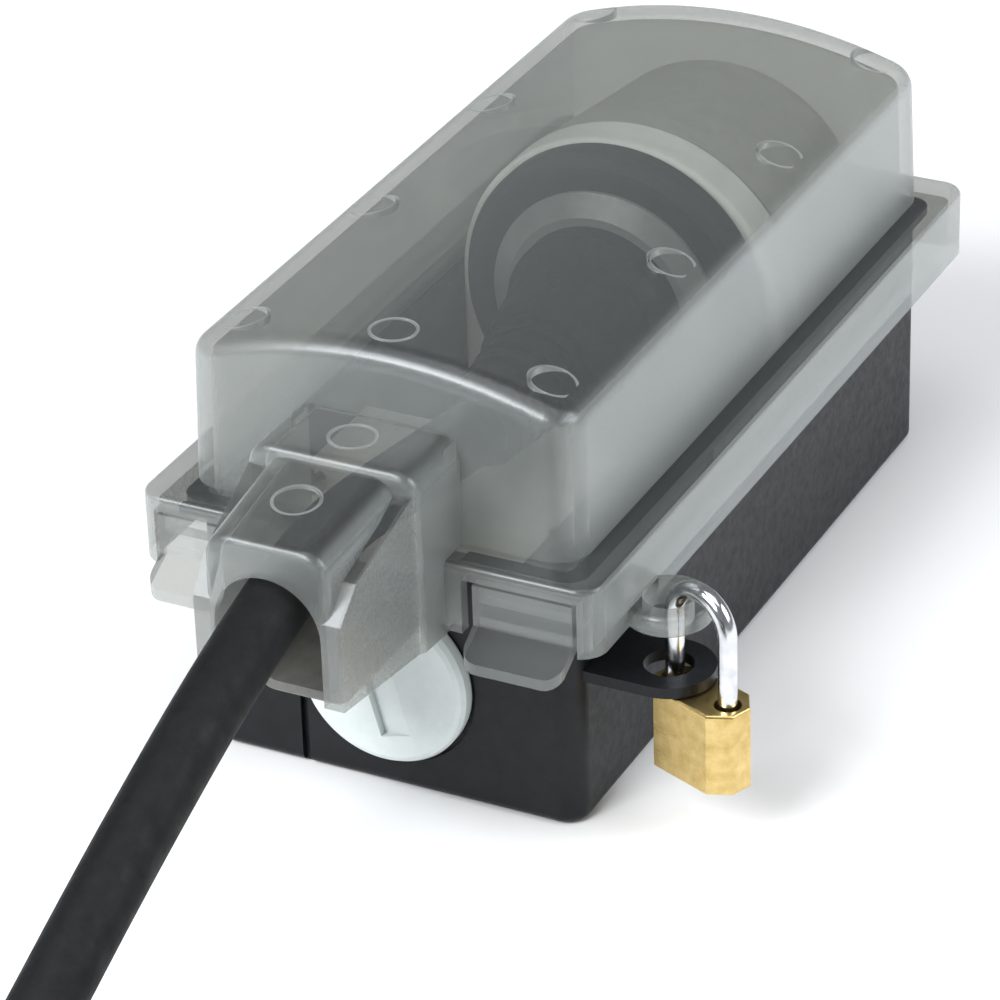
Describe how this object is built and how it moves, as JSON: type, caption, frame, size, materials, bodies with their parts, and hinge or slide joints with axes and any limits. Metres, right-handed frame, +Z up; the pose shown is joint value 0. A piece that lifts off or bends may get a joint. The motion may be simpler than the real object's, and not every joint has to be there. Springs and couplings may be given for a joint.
{
  "type": "surge protector plug box",
  "caption": "Lockable caravan surge protector box: black wall base, clear hinged lid with cord spout, twist cap, plugged-in rubber plug and cord, brass padlock",
  "frame": {"origin": "centre of the base's flat bottom, which is also the centre of the four wall screw holes", "axes": "+Y from the cord spout to the hinge, +Z up out of the mounting face, +X towards the padlock"},
  "size_m": [0.1404, 0.3435, 0.0708],
  "materials": {
    "base_black": "fine spark-eroded texture, near black with a blue-grey cast",
    "clear_lid": "smoky clear polycarbonate, slightly frosted inside",
    "cap_white": "off-white moulded plastic",
    "trough_grey": "grey-brown moulded plastic",
    "light_grey": "light grey moulded plastic",
    "dark_grey": "dark grey moulded plastic",
    "seal_rubber": "soft black rubber",
    "plug_rubber": "matte black moulded rubber",
    "cord_rubber": "matte black rubber sheath",
    "ring_grey": "mid grey plastic ring",
    "lock_brass": "satin brushed brass",
    "lock_steel": "bright plated steel",
    "contact_brass": "nickel-plated brass contacts",
    "screw_steel": "zinc-plated steel",
    "board_green": "glass-fibre circuit board",
    "varistor_blue": "blue dipped coating",
    "tube_ceramic": "white ceramic and tinned caps",
    "fuse_sand": "pale fuse bodies",
    "capacitor_yellow": "yellow film capacitor",
    "tie_black": "black hook-and-loop tie"
  },
  "bodies": {
    "box": {"base_housing": "base_black", "inner_tray": "dark_grey", "tray_screws": "screw_steel", "cord_trough": "trough_grey", "supply_grommet": "seal_rubber", "surge_board": "board_green", "varistors": "varistor_blue", "gas_discharge_tube": "tube_ceramic", "thermal_fuses": "fuse_sand", "emi_capacitor": "capacitor_yellow", "board_screws": "screw_steel", "cartridge_clips": "contact_brass", "terminal_block": "light_grey", "terminal_screws": "screw_steel", "cartridge_holder": "dark_grey", "arrester_cartridge": "ring_grey", "cartridge_contacts": "contact_brass", "socket_frame": "light_grey", "socket_housing": "dark_grey", "socket_insert": "light_grey", "socket_contacts": "contact_brass", "earth_clips": "contact_brass", "plug_body": "plug_rubber", "plug_ring": "ring_grey", "plug_face": "plug_rubber", "plug_pins": "contact_brass", "plug_earth_strips": "contact_brass", "strain_relief": "plug_rubber", "hinge_pin": "screw_steel", "cord_run": "cord_rubber", "cord_tail": "cord_rubber", "cord_coil": "cord_rubber", "coil_tie": "tie_black", "coupling_boot": "plug_rubber", "coupling_body": "plug_rubber", "coupling_insert": "dark_grey"},
    "lid": {"lid_shell": "clear_lid", "lid_gasket": "seal_rubber"},
    "tab_left": {"latch_tab_left": "clear_lid"},
    "tab_right": {"latch_tab_right": "clear_lid"},
    "cap": {"twist_cap": "cap_white", "cap_o_ring": "seal_rubber"},
    "shackle": {"shackle": "lock_steel"},
    "padlock": {"padlock_body": "lock_brass"},
    "key": {"key_cylinder": "lock_brass"}
  },
  "joints": [
    {"name": "lid_hinge", "type": "hinge", "parent": "box", "child": "lid", "pos_m": [0, 0.0668, 0.0345], "axis": [-1, 0, 0], "range_deg": [0, 110]},
    {"name": "tab_left_flex", "type": "hinge", "parent": "lid", "child": "tab_left", "pos_m": [0, -0.065, 0.038], "axis": [-1, 0, 0], "range_deg": [0, 8], "stiffness_Nm_per_rad": 0.06},
    {"name": "tab_right_flex", "type": "hinge", "parent": "lid", "child": "tab_right", "pos_m": [0, -0.065, 0.038], "axis": [-1, 0, 0], "range_deg": [0, 8], "stiffness_Nm_per_rad": 0.06},
    {"name": "cap_turn", "type": "hinge", "parent": "box", "child": "cap", "pos_m": [0, -0.06, 0.0172], "axis": [0, -1, 0], "range_deg": [0, 90]},
    {"name": "shackle_lift", "type": "slide", "parent": "lid", "child": "shackle", "axis": [0, 0, 1], "range_m": [0, 0.004]},
    {"name": "padlock_drop", "type": "slide", "parent": "box", "child": "padlock", "axis": [0, 0, -1], "range_m": [0, 0.0091]},
    {"name": "key_turn", "type": "hinge", "parent": "padlock", "child": "key", "pos_m": [0.04267, -0.05315, 0.012], "axis": [0, 0, -1], "range_deg": [0, 90]}
  ],
  "couplings": [
    {"joint": "padlock_drop", "follows": "lid_hinge", "m_per_rad": 0.0047}
  ]
}
